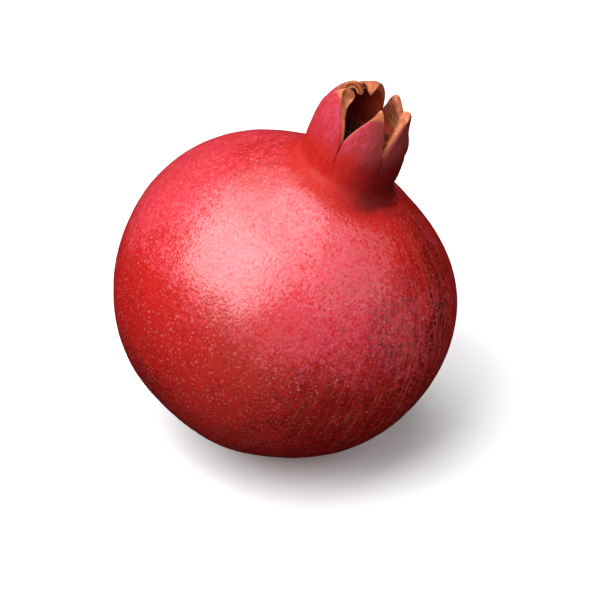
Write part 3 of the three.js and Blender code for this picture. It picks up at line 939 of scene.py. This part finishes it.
# One thread of unit length, bent to one side, with its anther on top
def threadShape(tree, value):
    tuft = stamenTuft
    top = tree.vector(value["Bend"], 0.0, 1.0)
    line = tree.node("GeometryNodeCurveQuadraticBezier", {}, {
        "Resolution": tuft["threadSteps"], "Start": (0.0, 0.0, 0.0),
        "Middle": (0.0, 0.0, tuft["bendFrom"]), "End": top})
    ring = tree.node("GeometryNodeCurvePrimitiveCircle", {}, {
        "Resolution": tuft["threadSides"], "Radius": value["Thread Radius"] / value["Longest"]})
    sweep = tree.node("GeometryNodeCurveToMesh", {}, {
        "Curve": line, "Profile Curve": ring, "Fill Caps": True})
    bead = tree.node("GeometryNodeMeshUVSphere", {}, {
        "Segments": tuft["antherSides"], "Rings": tuft["antherRings"],
        "Radius": value["Anther Size"] / value["Longest"]})
    seated = tree.node("GeometryNodeTransform", {}, {
        "Geometry": bead, "Scale": tuft["antherForm"], "Translation": top})
    stamen = tree.node("GeometryNodeJoinGeometry", {}, {})
    for shape, part in ((sweep, 0.0), (seated, 1.0)):
        noted = tree.node("GeometryNodeStoreNamedAttribute",
                          {"data_type": "FLOAT", "domain": "POINT"},
                          {"Geometry": shape, "Name": "tuftPart", "Value": part})
        tree.nodeTree.links.new(noted.socket, stamen.socket.node.inputs[0])
    return stamen


# Such threads all over a round pad, set as seeds sit in a sunflower
def tuftTree():
    tree, value = newGeometryTree(
        "stamenTuft", ("Count", "Seed"),
        ("Ring Radius", "Root", "Shortest", "Longest", "Lean", "Bend", "Thread Radius",
         "Anther Size"))
    index = tree.node("GeometryNodeInputIndex", {}, {})
    golden = math.pi * (3 - math.sqrt(5))
    azimuth = index * golden
    share = ((index + 0.5) / value["Count"]) ** 0.5
    distance = value["Ring Radius"] * share
    cosine = tree.node("ShaderNodeMath", {"operation": "COSINE"}, {0: azimuth})
    sine = tree.node("ShaderNodeMath", {"operation": "SINE"}, {0: azimuth})
    position = tree.vector(distance * cosine, distance * sine, value["Root"])
    points = tree.node("GeometryNodePoints", {}, {"Count": value["Count"], "Position": position})

    def draw(low, high, offset):
        sockets = {2: low, 3: high, "ID": index, "Seed": value["Seed"] + float(offset)}
        return tree.node("FunctionNodeRandomValue", {"data_type": "FLOAT"}, sockets, output=1)

    waver, turnWaver = stamenTuft["waver"], stamenTuft["turnWaver"]
    lean = value["Lean"] * share + draw(-waver, waver, 1)
    turn = tree.vector(draw(-waver, waver, 2), lean, azimuth + draw(-turnWaver, turnWaver, 3))
    length = draw(value["Shortest"], value["Longest"], 4)
    stood = tree.node("GeometryNodeInstanceOnPoints", {}, {
        "Points": points, "Instance": threadShape(tree, value), "Rotation": turn,
        "Scale": tree.vector(value["Longest"], value["Longest"], length)})
    real = tree.node("GeometryNodeRealizeInstances", {}, {"Geometry": stood})
    both = tree.node("GeometryNodeJoinGeometry", {}, {})
    for shape in (real, value["Geometry"]):
        tree.nodeTree.links.new(shape.socket, both.socket.node.inputs[0])
    smooth = tree.node("GeometryNodeSetShadeSmooth", {}, {"Geometry": both})
    return closeGeometryTree(tree, smooth, value["Material"])


def stamenMaterial():
    material, tree, output = newMaterial("dryStamens")
    place = tree.attribute("tuftPlace")
    part = tree.node("ShaderNodeAttribute", {"attribute_name": "tuftPart"}, {}, output="Fac")
    speck = tree.noise(place, 0.5, detail=3.0)
    colour = tree.mix(speck.between(0.35, 0.65), stamenTuft["thread"], stamenTuft["darkSpeckAndShade"])
    colour = tree.mix(part.between(0.3, 0.7), colour,
                      tree.mix(speck.between(0.4, 0.7), stamenTuft["anther"], stamenTuft["thread"]))
    # darker towards the roots, deep in the hollow of the crown: a painted shade
    low = place.part(2).between(45.5, 42.5)
    colour = tree.mix(low * 0.8, colour, stamenTuft["darkSpeckAndShade"])
    normal = tree.bump(0.6, 0.1, tree.noise(place, 0.25))
    return shade(material, tree, output, {
        "Base Color": colour, "Roughness": 0.75 + (speck - 0.5) * 0.2, "Normal": normal,
        "Specular IOR Level": 0.25})


# The style: a thicker thread in the middle of the tuft
def styleShape():
    tuft = stamenTuft
    sides = tuft["styleSides"]
    start, bend, tip = (np.array(point, float) for point in tuft["style"])
    share = np.linspace(0, 1, tuft["styleSteps"])[:, None]
    line = (1 - share) ** 2 * start + 2 * share * (1 - share) * bend + share ** 2 * tip
    widths = 1 - tuft["styleTaper"] * share[:, 0]
    widths[-2:] = tuft["styleTop"]
    points, faces = turnedShape([(tuft["styleRadius"] * width, 0.0) for width in widths], sides)
    points += np.repeat(line, sides, axis=0)
    faces.append(list(range(len(points) - sides, len(points))))
    faces.append(list(range(sides))[::-1])
    return points, faces


def buildStamens():
    tuft = stamenTuft
    pad, faces = turnedShape(tuft["pad"], tuft["padSides"])
    style, styleFaces = styleShape()
    faces += [[corner + len(pad) for corner in face] for face in styleFaces]
    piece = newPiece("stamen_tuft", np.concatenate([pad, style]), faces)
    weld(piece, tuft["weldDistance"])
    applyTree(piece, tuftTree(), {
        "Material": stamenMaterial(), "Count": tuft["count"], "Seed": tuft["seed"],
        "Ring Radius": tuft["ringRadius"], "Root": tuft["root"], "Shortest": tuft["shortest"],
        "Longest": tuft["longest"], "Lean": tuft["lean"], "Bend": tuft["bend"],
        "Thread Radius": tuft["threadRadius"], "Anther Size": tuft["antherSize"]})
    places = readPlaces(piece)
    addLayer(piece, "tuftPlace", places)
    writePlaces(piece, toWorld(shiftCrown(places)))
    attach(piece, "root")
    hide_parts("stamens")
    print("stamens built", len(piece.data.polygons), "faces")


buildStamens()

stalkStub = {
    "outline": [(0, 3.1), (0.7, 3.07), (1.3, 3.03), (1.8, 3), (2.08, 2.78), (2.2, 2.5), (2.15, 2),
                (2, 1.5), (2.1, 1.05), (2.3, 0.65), (1.6, 0.5), (0.8, 0.4), (0, 0.35)],
    "sides": 56,
    "fineness": 4,
    "ribs": 9,
    "ribHeight": 0.09,
    "ribsBeyond": 0.5,  # this radius
    "weldDistance": 0.001,
    "wood": (0.2, 0.1, 0.045),
    "dark": (0.05, 0.022, 0.012),
    "cut": (0.42, 0.27, 0.14),
}


def stubMaterial():
    material, tree, output = newMaterial("stalkWood")
    place = tree.attribute("stubPlace")
    fibre = tree.noise(place * (1.0, 1.0, 0.2), 0.35, detail=4.0)
    rings = tree.noise(place, 0.5, detail=3.0)
    cut = place.part(2).between(0.35, 0.12)
    colour = tree.mix(fibre.between(0.35, 0.7), stalkStub["wood"], stalkStub["dark"])
    end = tree.mix(rings.between(0.4, 0.7), stalkStub["cut"], stalkStub["wood"])
    colour = tree.mix(cut, colour, end)
    normal = tree.bump(0.7, 0.12, fibre + rings * 0.4)
    return shade(material, tree, output, {
        "Base Color": colour, "Roughness": 0.8 + (rings - 0.5) * 0.2, "Normal": normal,
        "Specular IOR Level": 0.25})


# The woody stub of the stalk, from its cut end up into the hollow of the fruit
def buildStub():
    stub, form = stalkStub, fruitForm
    count = len(stub["outline"])
    picks = np.linspace(0, count - 1, (count - 1) * stub["fineness"] + 1)
    radii, depths = (np.interp(picks, np.arange(count), column)
                     for column in np.array(stub["outline"]).T)
    points, faces = turnedShape(list(zip(radii, -depths)), stub["sides"])
    around = np.arctan2(points[:, 1], points[:, 0])
    radius = np.hypot(points[:, 0], points[:, 1])
    ribbed = (0.5 + 0.5 * np.cos(around * stub["ribs"])) * (radius > stub["ribsBeyond"])
    points[:, :2] *= (1 - stub["ribHeight"] * ribbed)[:, None]
    piece = newPiece("stalk_stub", points, faces)
    weld(piece, stub["weldDistance"])
    places = readPlaces(piece)
    addLayer(piece, "stubPlace", places + (0, 0, stub["outline"][0][1]))
    hollowBottom = form["hollowDepth"] - form["poleRadius"]
    writePlaces(piece, toWorld(places + (0, 0, hollowBottom)))
    piece.data.materials.append(stubMaterial())
    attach(piece, "root")
    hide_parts("stem_stub")


buildStub()
print("stub built")

studio = {
    "elevation": 32.5,  # of the camera, in degrees
    "distance": 0.62,
    "focalPixels": 2440,
    "fruitPixel": (283.3, 293.5),  # where the fruit's centre is in the photograph
    "imageSize": 600,
    "sensor": 36,
    "floorHalf": 3,
    "floorGap": 0.0001,  # between the fruit and the floor
    "floorColour": (0.95, 0.95, 0.95, 1),
    "floorRoughness": 0.9,
    "sky": 0.11,
    "lamps": {
        "key": {"towards": (-0.54, -0.4, 0.74), "distance": 0.8, "size": 0.66, "power": 7.2},
        "top": {"towards": (-0.08, 0.1, 1), "distance": 0.9, "size": 1, "power": 7.2},
        "sheen": {"towards": (0.35, -0.5, 0.79), "distance": 0.9, "size": 0.9, "power": 0.7,
                  "wash": False},
        "fill": {"towards": (0.75, -0.35, 0.5), "distance": 0.9, "size": 0.8, "power": 2.4,
                 "glint": False},
        "front": {"towards": (-0.1, -0.9, 0.12), "distance": 1, "size": 1.2, "power": 5.2,
                  "glint": False},
        "back": {"towards": (-0.6, 0.6, 0.3), "distance": 1, "size": 0.9, "power": 3.9,
                 "glint": False},
    },
}


# A soft lamp; one without glint lights surfaces evenly, one without wash only shines on them
def areaLamp(name, towards, distance, size, power, glint=True, wash=True):
    light = bpy.data.lights.new(name, "AREA")
    light.size = size
    light.energy = power
    lamp = bpy.data.objects.new(name, light)
    direction = unit(np.array(towards))
    lamp.location = placeOfFruit * mm + direction * distance
    lamp.rotation_euler = Vector(direction.tolist()).to_track_quat("Z", "Y").to_euler()
    lamp.visible_camera = False
    lamp.visible_glossy = glint
    lamp.visible_diffuse = wash
    bpy.context.scene.collection.objects.link(lamp)


def buildFloor():
    half = float(studio["floorHalf"])
    corners = np.array([(-half, -half, 0), (half, -half, 0), (half, half, 0), (-half, half, 0)])
    floor = newPiece("floor", corners, [[0, 1, 2, 3]])
    floor.location.z = -studio["floorGap"]
    material, tree, output = newMaterial("whiteFloor")
    floor.data.materials.append(shade(material, tree, output, {
        "Base Color": studio["floorColour"], "Roughness": studio["floorRoughness"],
        "Specular IOR Level": 0.0}))
    # the floor throws no light back at the fruit, as on a dull table under a cut-out picture
    floor.visible_diffuse = False
    floor.visible_glossy = False


def buildLight():
    world = bpy.data.worlds.new("softSky")
    bpy.context.scene.world = world
    world.use_nodes = True
    sky = world.node_tree.nodes["Background"]
    sky.inputs["Color"].default_value = (1, 1, 1, 1)
    sky.inputs["Strength"].default_value = studio["sky"]
    world.cycles_visibility.glossy = False
    for name, lamp in studio["lamps"].items():
        areaLamp(name, **lamp)


def buildCamera():
    camera = bpy.data.cameras.new("photoCamera")
    camera.sensor_width = studio["sensor"]
    camera.lens = studio["focalPixels"] / studio["imageSize"] * studio["sensor"]
    camera.shift_x = 0.5 - studio["fruitPixel"][0] / studio["imageSize"]
    camera.shift_y = studio["fruitPixel"][1] / studio["imageSize"] - 0.5
    rig = bpy.data.objects.new("photoCamera", camera)
    bpy.context.scene.collection.objects.link(rig)
    rise = math.radians(studio["elevation"])
    back = np.array([0, -math.cos(rise), math.sin(rise)])
    rig.location = placeOfFruit * mm + back * studio["distance"]
    rig.rotation_euler = (math.pi / 2 - rise, 0, 0)
    bpy.context.scene.camera = rig
    bpy.context.scene.view_settings.view_transform = "Standard"


buildFloor()
buildLight()
buildCamera()
print("studio built")
